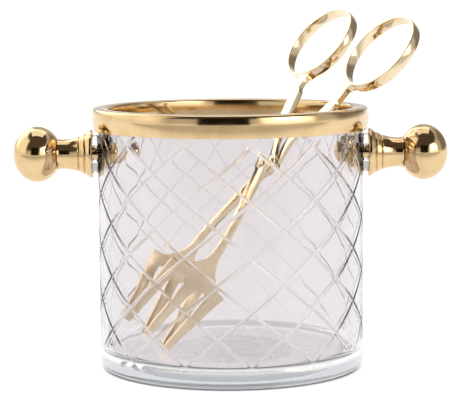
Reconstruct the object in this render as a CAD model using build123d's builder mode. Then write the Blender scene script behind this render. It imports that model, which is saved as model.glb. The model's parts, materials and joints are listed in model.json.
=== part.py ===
"""A glass ice bucket with a brass rim and two ball handles, and the scissor tongs that stand in it.

Frame: origin at the centre of the underside, +Z up, the handles along X. The tongs lean from the
left of the floor towards the right rim. All sizes are in millimetres.
"""

from build123d import *
import math
import os

os.makedirs("parts", exist_ok=True)

# ---- Driving dimensions: glass vessel ---------------------------------------------------------
overall_height = 132.0
vessel_od = 134.2
vessel_wall = 3.4
floor_thickness = 8.5
base_corner = 4.0
inner_corner = 5.0
lip_round = 0.6

# ---- Driving dimensions: brass rim collar and the seal under it ---------------------------------
collar_depth = 11.0
collar_wall = 1.2
collar_top_round = 1.1
collar_edge_round = 0.5
seal_outer = 1.7
seal_inner = 0.5
seal_top = 0.8
seal_recess = 0.8

# ---- Driving dimensions: handles ----------------------------------------------------------------
flange_radius = 12.2
flange_width = 1.4
flange_round = 0.4
flange_gap = 0.5
neck_length = 17.8
neck_waist_radius = 7.4
neck_end_radius = 7.8
neck_end_flare = 2.0
groove_round = 0.45
groove_places = (3.8, 6.9)
knob_radius = 14.1
knob_half_length = 12.2
knob_seat_radius = 7.2
saddle_radius = 9.7
saddle_thickness = 2.5
stud_radius = 3.0
stud_clearance = 0.1
stud_engagement = 10.0
stud_chamfer = 0.5
inner_saddle_radius = 8.0
inner_saddle_thickness = 2.6
washer_radius = 6.5
washer_thickness = 1.0
nut_across_flats = 10.0
nut_hex_height = 4.5
nut_dome_radius = 4.6
nut_dome_height = 3.4
nut_bore_depth = 5.5

# ---- Driving dimensions: tongs ------------------------------------------------------------------
tongs_rim_inset = 13.3
tongs_rim_azimuth = 29.2
tongs_tip_inset = 17.6
tongs_tip_azimuth = 199.5
tongs_roll = 5.2
tip_floor_gap = 0.3
jaw_length = overall_height * 71 / 88
ring_reach = overall_height * 7 / 12
ring_offset = 29.4
ring_radius = 22.6
ring_thickness = 1.5
ring_width = 5.6
bar_thickness = 3.0
bar_gap = 0.5
bar_radius = 3.3
bar_share = 0.78
neck_bar_radius = 2.1
boss_radius = 5.2
elbow_reach = 24.0
elbow_drop = 7.0
elbow_radius = 3.0
wrist_reach = 46.0
wrist_drop = 11.2
wrist_radius = 1.5
fork_thickness = 2.0
fork_neck_half = 2.7
fork_neck_share = 0.7
palm_reach = 69.5
palm_half = 18.8
palm_drop = 10.3
slot_root_reach = 73.0
slot_root_depth = 4.0
tip_half_span = 15.4
tine_root_width = 6.4
tine_tip_width = 3.4
tip_gap = 0.5
rivet_radius = 2.5
rivet_running_clearance = 0.05
rivet_head_radius = 4.5
rivet_head_height = 1.7
rivet_tail_radius = 3.8
rivet_tail_height = 1.4
pivot_washer_radius = 4.6
pivot_washer_thickness = 0.4
burr_thickness = 0.6
side_play = 0.1

# ---- Sizes that follow from them ----------------------------------------------------------------
vessel_or = vessel_od / 2
vessel_ir = vessel_or - vessel_wall
vessel_top = overall_height - collar_wall - seal_top
collar_or = vessel_or + seal_outer + collar_wall
collar_ir = vessel_ir - seal_inner - collar_wall
collar_bottom = overall_height - collar_depth
handle_height = collar_bottom - flange_gap - flange_radius
flange_start = vessel_or + saddle_thickness
shoulder = flange_start + flange_width
neck_end = flange_start + neck_length
waist = neck_end - neck_end_flare
seat_share = math.sqrt(1 - (knob_seat_radius / knob_radius) ** 2)
knob_centre = neck_end + knob_half_length * seat_share
inner_saddle_face = vessel_ir - inner_saddle_thickness
nut_face = inner_saddle_face - washer_thickness
stud_start = nut_face - nut_bore_depth + 0.5
stud_end = neck_end + stud_engagement


def save(piece, name):
    """Label one finished piece and write it as a STEP file."""
    piece.part.label = name
    export_step(piece.part, f"parts/{name}.step")


# ---- Glass vessel ---------------------------------------------------------------------------------
with BuildPart() as glass_vessel:
    with BuildSketch(Plane.XZ) as wall_section:
        with BuildLine():
            Polyline(
                (0, 0),
                (vessel_or, 0),
                (vessel_or, vessel_top),
                (vessel_ir, vessel_top),
                (vessel_ir, floor_thickness),
                (0, floor_thickness),
                close=True,
            )
        make_face()
        corners = wall_section.vertices()
        outer_corner = corners.sort_by_distance((vessel_or, 0))[0]
        floor_corner = corners.sort_by_distance((vessel_ir, floor_thickness))[0]
        lip_corners = corners.group_by(Axis.Y)[-1]
        fillet(outer_corner, base_corner)
        fillet(floor_corner, inner_corner)
        fillet(lip_corners, lip_round)
    revolve(axis=Axis.Z)
    with BuildSketch(Plane.YZ):
        with Locations((0, handle_height)):
            Circle(stud_radius + stud_clearance)
    extrude(amount=vessel_or + 1, both=True, mode=Mode.SUBTRACT)
save(glass_vessel, "glass_vessel")


# ---- Rim collar: a spun brass channel that caps the glass -------------------------------------------
with BuildPart() as rim_collar:
    with BuildSketch(Plane.XZ) as collar_section:
        with BuildLine():
            Polyline(
                (collar_ir, collar_bottom),
                (collar_ir, overall_height),
                (collar_or, overall_height),
                (collar_or, collar_bottom),
                (collar_or - collar_wall, collar_bottom),
                (collar_or - collar_wall, overall_height - collar_wall),
                (collar_ir + collar_wall, overall_height - collar_wall),
                (collar_ir + collar_wall, collar_bottom),
                close=True,
            )
        make_face()
        corners = collar_section.vertices()
        fillet(corners.group_by(Axis.Y)[-1], collar_top_round)
        fillet(corners.group_by(Axis.Y)[0], collar_edge_round)
    revolve(axis=Axis.Z)
save(rim_collar, "rim_collar")


# ---- Rim seal: a clear channel between the collar and the glass ---------------------------------------
with BuildPart() as rim_seal:
    with BuildSketch(Plane.XZ):
        with BuildLine():
            Polyline(
                (vessel_ir - seal_inner, collar_bottom + seal_recess),
                (vessel_ir - seal_inner, vessel_top + seal_top),
                (vessel_or + seal_outer, vessel_top + seal_top),
                (vessel_or + seal_outer, collar_bottom + seal_recess),
                (vessel_or, collar_bottom + seal_recess),
                (vessel_or, vessel_top),
                (vessel_ir, vessel_top),
                (vessel_ir, collar_bottom + seal_recess),
                close=True,
            )
        make_face()
    revolve(axis=Axis.Z)
save(rim_seal, "rim_seal")


# ---- Handles: the same pieces on the left and on the right --------------------------------------------
def section_plane(sign):
    """A plane that holds the handle's axis: local x runs outwards, local y runs up."""
    return Plane(origin=(0, 0, handle_height), x_dir=(sign, 0, 0), z_dir=(0, -sign, 0))


def cross_plane(sign, distance):
    """A plane square to the handle's axis, at a distance from the bucket's axis."""
    return Plane(
        origin=(sign * distance, 0, handle_height), x_dir=(0, sign, 0), z_dir=(sign, 0, 0)
    )


def handle_axis(sign):
    """The axis that the turned handle pieces are round about."""
    return Axis(origin=(0, 0, handle_height), direction=(sign, 0, 0))


def cove_radius(distance):
    """The neck's radius at a distance from the bucket's axis, along its concave arc."""
    run = waist - shoulder
    rise = flange_radius - neck_waist_radius
    arc = (run**2 + rise**2) / (2 * rise)
    return neck_waist_radius + arc - math.sqrt(arc**2 - (waist - distance) ** 2)


for side, sign in (("left", -1), ("right", 1)):
    with BuildPart() as neck:
        bore = stud_radius + stud_clearance
        with BuildSketch(section_plane(sign)):
            with BuildLine():
                Polyline((neck_end, bore), (flange_start, bore), (flange_start, flange_radius - flange_round))
                RadiusArc(
                    (flange_start, flange_radius - flange_round),
                    (flange_start + flange_round, flange_radius),
                    flange_round,
                )
                Line((flange_start + flange_round, flange_radius), (shoulder, flange_radius))
                TangentArc((waist, neck_waist_radius), (shoulder, flange_radius), tangent=(-1, 0))
                TangentArc((waist, neck_waist_radius), (neck_end, neck_end_radius), tangent=(1, 0))
                Line((neck_end, neck_end_radius), (neck_end, bore))
            make_face()
        revolve(axis=handle_axis(sign))
        with BuildSketch(section_plane(sign)):
            for place in groove_places:
                with Locations((flange_start + place, cove_radius(flange_start + place))):
                    Circle(groove_round)
        revolve(axis=handle_axis(sign), mode=Mode.SUBTRACT)
    save(neck, f"{side}_handle_neck")

    with BuildPart() as knob:
        with BuildSketch(section_plane(sign)):
            with Locations((knob_centre, 0)):
                Ellipse(knob_half_length, knob_radius)
            with Locations((knob_centre + knob_half_length, -knob_radius)):
                Rectangle(4 * knob_half_length, 2 * knob_radius, mode=Mode.SUBTRACT)
            with Locations((neck_end, 0)):
                Rectangle(
                    knob_half_length, 4 * knob_radius, align=(Align.MAX, Align.CENTER), mode=Mode.SUBTRACT
                )
                Rectangle(
                    stud_engagement, stud_radius, align=(Align.MIN, Align.MIN), mode=Mode.SUBTRACT
                )
        revolve(axis=handle_axis(sign))
    save(knob, f"{side}_handle_knob")

    with BuildPart() as stud:
        with BuildSketch(cross_plane(sign, stud_start)):
            Circle(stud_radius)
        extrude(amount=stud_end - stud_start)
        chamfer(stud.edges().filter_by(GeomType.CIRCLE), stud_chamfer)
    save(stud, f"{side}_handle_stud")

    with BuildPart() as outer_saddle:
        with BuildSketch(cross_plane(sign, vessel_ir)):
            Circle(saddle_radius)
            Circle(stud_radius + stud_clearance, mode=Mode.SUBTRACT)
        extrude(amount=flange_start - vessel_ir)
        with BuildSketch(Plane.XY.offset(handle_height - flange_radius)):
            Circle(vessel_or)
        extrude(amount=2 * flange_radius, mode=Mode.SUBTRACT)
    save(outer_saddle, f"{side}_outer_saddle_washer")

    with BuildPart() as inner_saddle:
        with BuildSketch(cross_plane(sign, inner_saddle_face)):
            Circle(inner_saddle_radius)
            Circle(stud_radius + stud_clearance, mode=Mode.SUBTRACT)
        extrude(amount=vessel_or - inner_saddle_face)
        with BuildSketch(Plane.XY.offset(handle_height - flange_radius)):
            Circle(vessel_ir)
        extrude(amount=2 * flange_radius, mode=Mode.INTERSECT)
    save(inner_saddle, f"{side}_inner_saddle_washer")

    with BuildPart() as inner_washer:
        with BuildSketch(cross_plane(sign, nut_face)):
            Circle(washer_radius)
            Circle(stud_radius + stud_clearance, mode=Mode.SUBTRACT)
        extrude(amount=washer_thickness)
    save(inner_washer, f"{side}_inner_washer")

    with BuildPart() as cap_nut:
        nut_crown = nut_face - nut_hex_height
        with BuildSketch(cross_plane(sign, nut_crown)):
            RegularPolygon(nut_across_flats / 2, 6, major_radius=False)
        extrude(amount=nut_hex_height)
        with BuildSketch(section_plane(sign)):
            with BuildLine():
                Polyline(
                    (nut_crown - nut_dome_height, 0), (nut_crown, 0), (nut_crown, nut_dome_radius)
                )
                TangentArc(
                    (nut_crown - nut_dome_height, 0), (nut_crown, nut_dome_radius), tangent=(0, 1)
                )
            make_face()
        revolve(axis=handle_axis(sign))
        with BuildSketch(cross_plane(sign, nut_face - nut_bore_depth)):
            Circle(stud_radius)
        extrude(amount=nut_bore_depth, mode=Mode.SUBTRACT)
    save(cap_nut, f"{side}_cap_nut")


# ---- Tongs: where they stand ----------------------------------------------------------------------------
def polar_point(radius, azimuth, height):
    """A point given by its distance and bearing from the bucket's axis, and its height."""
    angle = math.radians(azimuth)
    return Vector(radius * math.cos(angle), radius * math.sin(angle), height)


def tongs_plane(tip_height):
    """The tongs' own plane at the rivet: local x towards the rings, local z along the rivet."""
    tip = polar_point(vessel_ir - tongs_tip_inset, tongs_tip_azimuth, tip_height)
    rest = polar_point(collar_ir - tongs_rim_inset, tongs_rim_azimuth, overall_height)
    along = (rest - tip).normalized()
    level = Vector(-along.Y, along.X, 0).normalized()
    down = level.cross(along)
    rivet_direction = down.rotate(Axis((0, 0, 0), along), tongs_roll)
    return Plane(origin=tip + along * jaw_length, x_dir=along, z_dir=rivet_direction)


def lowest_tip(plane):
    """How far the lowest point of the outer tines lies below the middle of the jaws' end."""
    tip_round = tine_tip_width / 2
    along, across, through = plane.x_dir.Z, plane.z_dir.Z, plane.y_dir.Z
    return (
        (tip_half_span - tip_round) * abs(across)
        + tip_round * (math.hypot(along, across) - along)
        + (tip_gap / 2 + fork_thickness) * abs(through)
    )


level_tip_plane = tongs_plane(floor_thickness + tip_half_span)
tongs = tongs_plane(floor_thickness + tip_floor_gap + lowest_tip(level_tip_plane))
turned_over = Plane(origin=tongs.origin, x_dir=tongs.x_dir, z_dir=-tongs.z_dir)

ring_distance = math.hypot(ring_reach, ring_offset)
arm_length = ring_distance - ring_radius
arm_direction = Vector(ring_reach, ring_offset) / ring_distance
bar_end = arm_direction * arm_length * bar_share
plate_face = bar_gap / 2 + bar_thickness
burr_face = plate_face + side_play
tail_face = burr_face + burr_thickness
elbow = Vector(-elbow_reach, -elbow_drop)
wrist = Vector(-wrist_reach, -wrist_drop)
limbs = (
    (Vector(0, 0), bar_radius, bar_end, bar_radius),
    (bar_end, neck_bar_radius, arm_direction * (arm_length + ring_thickness), neck_bar_radius),
    (Vector(0, 0), bar_radius, elbow, elbow_radius),
    (elbow, elbow_radius, wrist, wrist_radius),
)


# ---- Tongs: the fork at the end of each lever -------------------------------------------------------------
def make_fork(plane):
    """A three-tined fork: a bowed strip trimmed to its outline. It lies on the plane's -Y side."""
    trim_plane = Plane(origin=plane.origin, x_dir=plane.x_dir, z_dir=plane.y_dir)
    tip_round = tine_tip_width / 2
    slot_start = slot_root_reach + slot_root_depth
    slot_outer = palm_half - tine_root_width
    slot_inner = tine_root_width / 2
    with BuildPart() as fork:
        with BuildSketch(plane):
            with BuildLine():
                neck_line = Line(elbow * (1 - fork_neck_share) + wrist * fork_neck_share, wrist)
                palm_arc = TangentArc(wrist, (-palm_reach, -palm_drop), tangent=neck_line % 1)
                TangentArc(
                    (-palm_reach, -palm_drop),
                    (-jaw_length, -(tip_gap + fork_thickness) / 2),
                    tangent=palm_arc % 1,
                )
                offset(amount=fork_thickness / 2)
            make_face()
        extrude(amount=palm_half + 1, both=True)
        with BuildSketch(trim_plane):
            with BuildLine():
                Line((-elbow_reach, 0), (-elbow_reach, fork_neck_half))
                Line((-elbow_reach, fork_neck_half), (-wrist_reach, fork_neck_half))
                TangentArc((-wrist_reach, fork_neck_half), (-palm_reach, palm_half), tangent=(-1, 0))
                Line((-palm_reach, palm_half), (tip_round - jaw_length, tip_half_span))
                ThreePointArc(
                    (tip_round - jaw_length, tip_half_span),
                    (-jaw_length, tip_half_span - tip_round),
                    (tip_round - jaw_length, tip_half_span - tine_tip_width),
                )
                Line(
                    (tip_round - jaw_length, tip_half_span - tine_tip_width), (-slot_start, slot_outer)
                )
                ThreePointArc(
                    (-slot_start, slot_outer),
                    (-slot_root_reach, (slot_outer + slot_inner) / 2),
                    (-slot_start, slot_inner),
                )
                Line((-slot_start, slot_inner), (tip_round - jaw_length, tip_round))
                RadiusArc((-jaw_length, 0), (tip_round - jaw_length, tip_round), tip_round)
                mirror(about=Plane.XZ)
            make_face()
        extrude(amount=2 * palm_half, both=True, mode=Mode.INTERSECT)
    return fork


# ---- Tongs: two levers from one casting, the second turned over, each with its finger ring ------------------
for letter, plane in (("a", turned_over), ("b", tongs)):
    fork = make_fork(plane)
    with BuildPart() as lever:
        add(fork.part)
        for start, start_radius, end, end_radius in limbs:
            with BuildSketch(plane.offset(bar_gap / 2)):
                with Locations(start):
                    Circle(start_radius)
                with Locations(end):
                    Circle(end_radius)
                make_hull()
            extrude(amount=bar_thickness)
        with BuildSketch(plane.offset(bar_gap / 2)):
            Circle(boss_radius)
        extrude(amount=bar_thickness)
        with BuildSketch(plane):
            with Locations((ring_reach, ring_offset)):
                Circle(ring_radius)
        extrude(amount=2 * bar_thickness, both=True, mode=Mode.SUBTRACT)
        with BuildSketch(plane):
            Circle(rivet_radius + rivet_running_clearance)
        extrude(amount=2 * bar_thickness, both=True, mode=Mode.SUBTRACT)
    save(lever, f"tong_lever_{letter}")

    with BuildPart() as finger_ring:
        with BuildSketch(plane):
            with Locations((ring_reach, ring_offset)):
                Circle(ring_radius)
                Circle(ring_radius - ring_thickness, mode=Mode.SUBTRACT)
        extrude(amount=ring_width / 2, both=True)
    save(finger_ring, f"finger_ring_{letter}")


# ---- Tongs: the rivet and its washers --------------------------------------------------------------------------
with BuildPart() as pivot_washer:
    with BuildSketch(tongs.offset(-bar_gap / 2)):
        Circle(pivot_washer_radius)
        Circle(rivet_radius + rivet_running_clearance, mode=Mode.SUBTRACT)
    extrude(amount=pivot_washer_thickness)
save(pivot_washer, "pivot_washer")

with BuildPart() as pivot_burr:
    with BuildSketch(tongs.offset(burr_face)):
        Circle(pivot_washer_radius)
        Circle(rivet_radius + rivet_running_clearance, mode=Mode.SUBTRACT)
    extrude(amount=burr_thickness)
save(pivot_burr, "pivot_burr")

with BuildPart() as pivot_rivet:
    with BuildSketch(Plane(origin=tongs.origin, x_dir=tongs.z_dir, z_dir=tongs.y_dir)):
        with BuildLine():
            Line((-plate_face - rivet_head_height, 0), (tail_face + rivet_tail_height, 0))
            TangentArc(
                (-plate_face - rivet_head_height, 0), (-plate_face, rivet_head_radius), tangent=(0, 1)
            )
            Polyline(
                (-plate_face, rivet_head_radius),
                (-plate_face, rivet_radius),
                (tail_face, rivet_radius),
                (tail_face, rivet_tail_radius),
            )
            TangentArc(
                (tail_face + rivet_tail_height, 0), (tail_face, rivet_tail_radius), tangent=(0, 1)
            )
        make_face()
    revolve(axis=Axis(tongs.origin, tongs.z_dir))
save(pivot_rivet, "pivot_rivet")
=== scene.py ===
"""A cut-glass ice bucket with a brass rim and ball handles, and the scissor tongs that stand in it.

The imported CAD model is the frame: places and overall sizes are read from it, and the visible
pieces are modelled round it. Sizes in the classes are in millimetres.
"""

import json
import logging
import math
from dataclasses import dataclass
from enum import Enum
from typing import Callable, Sequence

import bmesh
import bpy
from mathutils import Matrix, Vector


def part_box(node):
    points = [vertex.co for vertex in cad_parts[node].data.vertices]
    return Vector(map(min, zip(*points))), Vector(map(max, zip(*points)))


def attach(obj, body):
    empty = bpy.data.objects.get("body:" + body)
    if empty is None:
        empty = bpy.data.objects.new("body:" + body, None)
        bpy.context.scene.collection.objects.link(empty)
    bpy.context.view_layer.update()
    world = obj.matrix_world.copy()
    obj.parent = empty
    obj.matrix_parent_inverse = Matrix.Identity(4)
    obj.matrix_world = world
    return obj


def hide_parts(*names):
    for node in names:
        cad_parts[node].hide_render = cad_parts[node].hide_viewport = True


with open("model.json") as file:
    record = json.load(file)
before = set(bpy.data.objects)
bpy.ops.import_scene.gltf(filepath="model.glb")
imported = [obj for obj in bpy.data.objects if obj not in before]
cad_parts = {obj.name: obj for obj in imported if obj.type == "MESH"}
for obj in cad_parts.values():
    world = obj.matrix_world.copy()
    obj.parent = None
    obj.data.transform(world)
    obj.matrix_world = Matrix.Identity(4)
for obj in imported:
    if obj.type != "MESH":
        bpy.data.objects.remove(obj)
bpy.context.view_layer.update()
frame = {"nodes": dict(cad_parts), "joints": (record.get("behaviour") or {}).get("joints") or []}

MM = 0.001
BUCKET = "bucket"
FIXED_LEVER = "tongs"
SWINGING_LEVER = "swinging_lever"

log = logging.getLogger("ice_bucket")

Piece = bpy.types.Object
Material = bpy.types.Material
Socket = bpy.types.NodeSocket
Colour = tuple[float, float, float]
Point = tuple[float, float]
Outline = list[Point]


class Slot(Enum):
    """The record's material slots."""

    GLASS = "cut_glass"
    BRASS = "polished_brass"
    TONGS = "tongs_brass"
    CLEAR = "clear_plastic"


class Element(Enum):
    """What edit mode selects: its mode, and the name of its list in a mesh."""

    VERTICES = ("VERT", "verts")
    EDGES = ("EDGE", "edges")
    FACES = ("FACE", "faces")


# ---- Measures ----


def clamped(share: float) -> float:
    """Hold a share between 0 and 1."""
    return min(1.0, max(0.0, share))


def eased(share: float) -> float:
    """Give a share a soft start and end."""
    return share * share * (3 - 2 * share)


def arc_rise(into: float, run: float, rise: float) -> float:
    """How far an arc has risen at a place, when it starts level and rises so much over its run."""
    bend = (run**2 + rise**2) / (2 * rise)
    return bend - math.sqrt(bend**2 - into**2)


# ---- Working with Blender's tools ----


def deselect_everything() -> None:
    """Leave edit mode and clear the selection."""
    if bpy.context.object is not None and bpy.context.object.mode != "OBJECT":
        bpy.ops.object.mode_set(mode="OBJECT")
    bpy.ops.object.select_all(action="DESELECT")


def take_up(piece: Piece) -> None:
    """Make one piece the only selected and the active one.

    Args:
        piece: The piece to work on.
    """
    deselect_everything()
    piece.select_set(True)
    bpy.context.view_layer.objects.active = piece


class Editing:
    """Edit mode on one piece, with nothing selected at the start."""

    def __init__(self, piece: Piece) -> None:
        """Remember the piece.

        Args:
            piece: The mesh piece to edit.
        """
        self.piece = piece

    def __enter__(self) -> "Editing":
        """Enter edit mode with nothing selected."""
        take_up(self.piece)
        bpy.ops.object.mode_set(mode="EDIT")
        bpy.ops.mesh.select_mode(type="VERT")
        bpy.ops.mesh.select_all(action="DESELECT")
        return self

    def __exit__(self, *_: object) -> None:
        """Go back to object mode."""
        bpy.ops.object.mode_set(mode="OBJECT")

    def select(self, element: Element, wanted: Callable[[object], bool]) -> int:
        """Select the elements of one kind that pass a test, and nothing else.

        Args:
            element: Vertices, edges or faces.
            wanted: The test.

        Returns:
            How many are selected.
        """
        mode, members = element.value
        bpy.ops.mesh.select_mode(type=mode)
        bpy.ops.mesh.select_all(action="DESELECT")
        mesh = bmesh.from_edit_mesh(self.piece.data)
        chosen = [member for member in getattr(mesh, members) if wanted(member)]
        for member in chosen:
            member.select_set(True)
        if element is Element.VERTICES:
            mesh.select_flush(True)
        bmesh.update_edit_mesh(self.piece.data)
        return len(chosen)

    def ring_to(self, radius_ratio: float, rise: float, height: float) -> None:
        """Extrude the selected ring along Z and scale it about the Z axis.

        Args:
            radius_ratio: The new ring's radius over the old one's.
            rise: How far the ring moves along Z, in metres.
            height: The new ring's height, in metres.
        """
        bpy.ops.mesh.extrude_region_move(TRANSFORM_OT_translate={"value": (0, 0, rise)})
        bpy.ops.transform.resize(
            value=(radius_ratio, radius_ratio, 1), center_override=(0, 0, height)
        )

    def ring_to_pole(self, rise: float) -> None:
        """Close the selected ring to a point on its axis.

        Args:
            rise: How far the point lies from the ring along Z, in metres.
        """
        bpy.ops.mesh.extrude_region_move(TRANSFORM_OT_translate={"value": (0, 0, rise)})
        bpy.ops.mesh.merge(type="CENTER")


def apply_modifier(piece: Piece, kind: str, **settings: object) -> None:
    """Add a modifier to a piece and apply it.

    Args:
        piece: The piece.
        kind: The modifier's type.
        settings: Its settings by name.
    """
    take_up(piece)
    modifier = piece.modifiers.new(kind.lower(), kind)
    for setting, value in settings.items():
        setattr(modifier, setting, value)
    bpy.ops.object.modifier_apply(modifier=modifier.name)


def ease_edges(piece: Piece, width: float, segments: int, angle: float) -> None:
    """Round the sharp edges of a piece.

    Args:
        piece: The piece.
        width: The width of the rounding, in millimetres.
        segments: How many parts each rounding has.
        angle: The least angle between two faces that counts as sharp, in degrees.
    """
    apply_modifier(
        piece,
        "BEVEL",
        width=width * MM,
        segments=segments,
        limit_method="ANGLE",
        angle_limit=math.radians(angle),
    )


def cut_hole(
    piece: Piece,
    sides: int,
    radius: float,
    depth: float,
    height: float = 0.0,
    tilt: float = 0.0,
) -> None:
    """Cut a round hole right through a piece.

    Args:
        piece: The piece.
        sides: How many sides the hole has.
        radius: Its radius, in metres.
        depth: How long the cutter is, in metres.
        height: The height of the cutter's middle, in metres.
        tilt: How far the cutter is turned from Z towards X, in radians.
    """
    deselect_everything()
    bpy.ops.mesh.primitive_cylinder_add(
        vertices=sides, radius=radius, depth=depth, location=(0, 0, height), rotation=(0, tilt, 0)
    )
    cutter = bpy.context.object
    bpy.ops.object.transform_apply(location=True, rotation=True)
    apply_modifier(piece, "BOOLEAN", object=cutter, operation="DIFFERENCE", solver="EXACT")
    bpy.data.objects.remove(cutter)


def face_outwards(piece: Piece) -> None:
    """Merge doubled vertices and turn all faces outwards."""
    with Editing(piece):
        bpy.ops.mesh.select_all(action="SELECT")
        bpy.ops.mesh.remove_doubles(threshold=0.001 * MM)
        bpy.ops.mesh.normals_make_consistent(inside=False)


def smooth(piece: Piece, angle: float = 30.0) -> None:
    """Shade a piece smooth, with edges sharper than an angle kept crisp.

    Args:
        piece: The piece.
        angle: The angle in degrees.
    """
    take_up(piece)
    bpy.ops.object.shade_smooth_by_angle(angle=math.radians(angle))


def place(piece: Piece, placement: Matrix) -> None:
    """Move a piece made at the origin to its place, and leave its object at the origin.

    Args:
        piece: The piece.
        placement: Where it goes.
    """
    take_up(piece)
    piece.matrix_world = placement @ piece.matrix_world
    bpy.context.view_layer.update()
    bpy.ops.object.transform_apply(location=True, rotation=True, scale=True)


def round_corners(
    corners: Sequence[tuple[float, float, float]], closed: bool, steps: int = 5
) -> Outline:
    """Replace the corners of an outline by arcs.

    Args:
        corners: Radius, height and rounding radius of each corner.
        closed: Whether the last corner joins the first.
        steps: How many parts each arc has.

    Returns:
        The outline's points.
    """
    points: Outline = []
    for index, (x, y, rounding) in enumerate(corners):
        corner = Vector((x, y))
        ends = not closed and index in (0, len(corners) - 1)
        if ends or rounding <= 0:
            points.append((x, y))
            continue
        before = Vector(corners[index - 1][:2])
        after = Vector(corners[(index + 1) % len(corners)][:2])
        back, ahead = (before - corner).normalized(), (after - corner).normalized()
        half_angle = back.angle(ahead) / 2
        if abs(math.sin(half_angle)) > 0.9999:
            points.append((x, y))
            continue
        reach = rounding / math.tan(half_angle)
        centre = corner + (back + ahead).normalized() * rounding / math.sin(half_angle)
        first, last = corner + back * reach - centre, corner + ahead * reach - centre
        sweep = first.angle_signed(last)
        for step in range(steps + 1):
            turn = Matrix.Rotation(-sweep * step / steps, 2)
            spot = centre + turn @ first
            points.append((spot.x, spot.y))
    return points


def turned(name: str, outline: Outline, segments: int, closed: bool) -> Piece:
    """Turn a piece about the Z axis, ring by ring, as on a lathe.

    Args:
        name: The piece's name.
        outline: Radius and height of each ring, in millimetres. Radius 0 is a pole.
        segments: How many sides each ring has.
        closed: Whether the last ring joins the first, as in a hollow ring.

    Returns:
        The piece, at the origin.
    """
    rings = [point for point in outline if point[0] > 0]
    radius, height = rings[0]
    first_height = height
    deselect_everything()
    bpy.ops.mesh.primitive_circle_add(
        vertices=segments, radius=radius * MM, location=(0, 0, height * MM)
    )
    piece = bpy.context.object
    piece.name = name
    bpy.ops.object.transform_apply(location=True)
    with Editing(piece) as edit:
        bpy.ops.mesh.select_all(action="SELECT")
        for next_radius, next_height in rings[1:]:
            edit.ring_to(next_radius / radius, (next_height - height) * MM, next_height * MM)
            radius, height = next_radius, next_height
        if closed:
            edit.select(Element.EDGES, lambda edge: edge.is_boundary)
            bpy.ops.mesh.bridge_edge_loops()
        else:
            edit.ring_to_pole((outline[-1][1] - height) * MM)
            edit.select(Element.EDGES, lambda edge: edge.is_boundary)
            edit.ring_to_pole((outline[0][1] - first_height) * MM)
    face_outwards(piece)
    return piece


def copy_of_node(node: str, name: str, edge: float) -> Piece:
    """Copy a CAD node's mesh as a new piece and round its sharp edges.

    Args:
        node: The CAD node.
        name: The new piece's name.
        edge: The width of the rounding, in millimetres.

    Returns:
        The new piece.
    """
    piece = bpy.data.objects.new(name, frame["nodes"][node].data.copy())
    bpy.context.scene.collection.objects.link(piece)
    with Editing(piece):
        bpy.ops.mesh.select_all(action="SELECT")
        bpy.ops.mesh.remove_doubles(threshold=0.002 * MM)
        bpy.ops.mesh.dissolve_limited(angle_limit=math.radians(1.0))
    ease_edges(piece, edge, segments=2, angle=35)
    smooth(piece)
    return piece


# ---- Finishes ----


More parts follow.
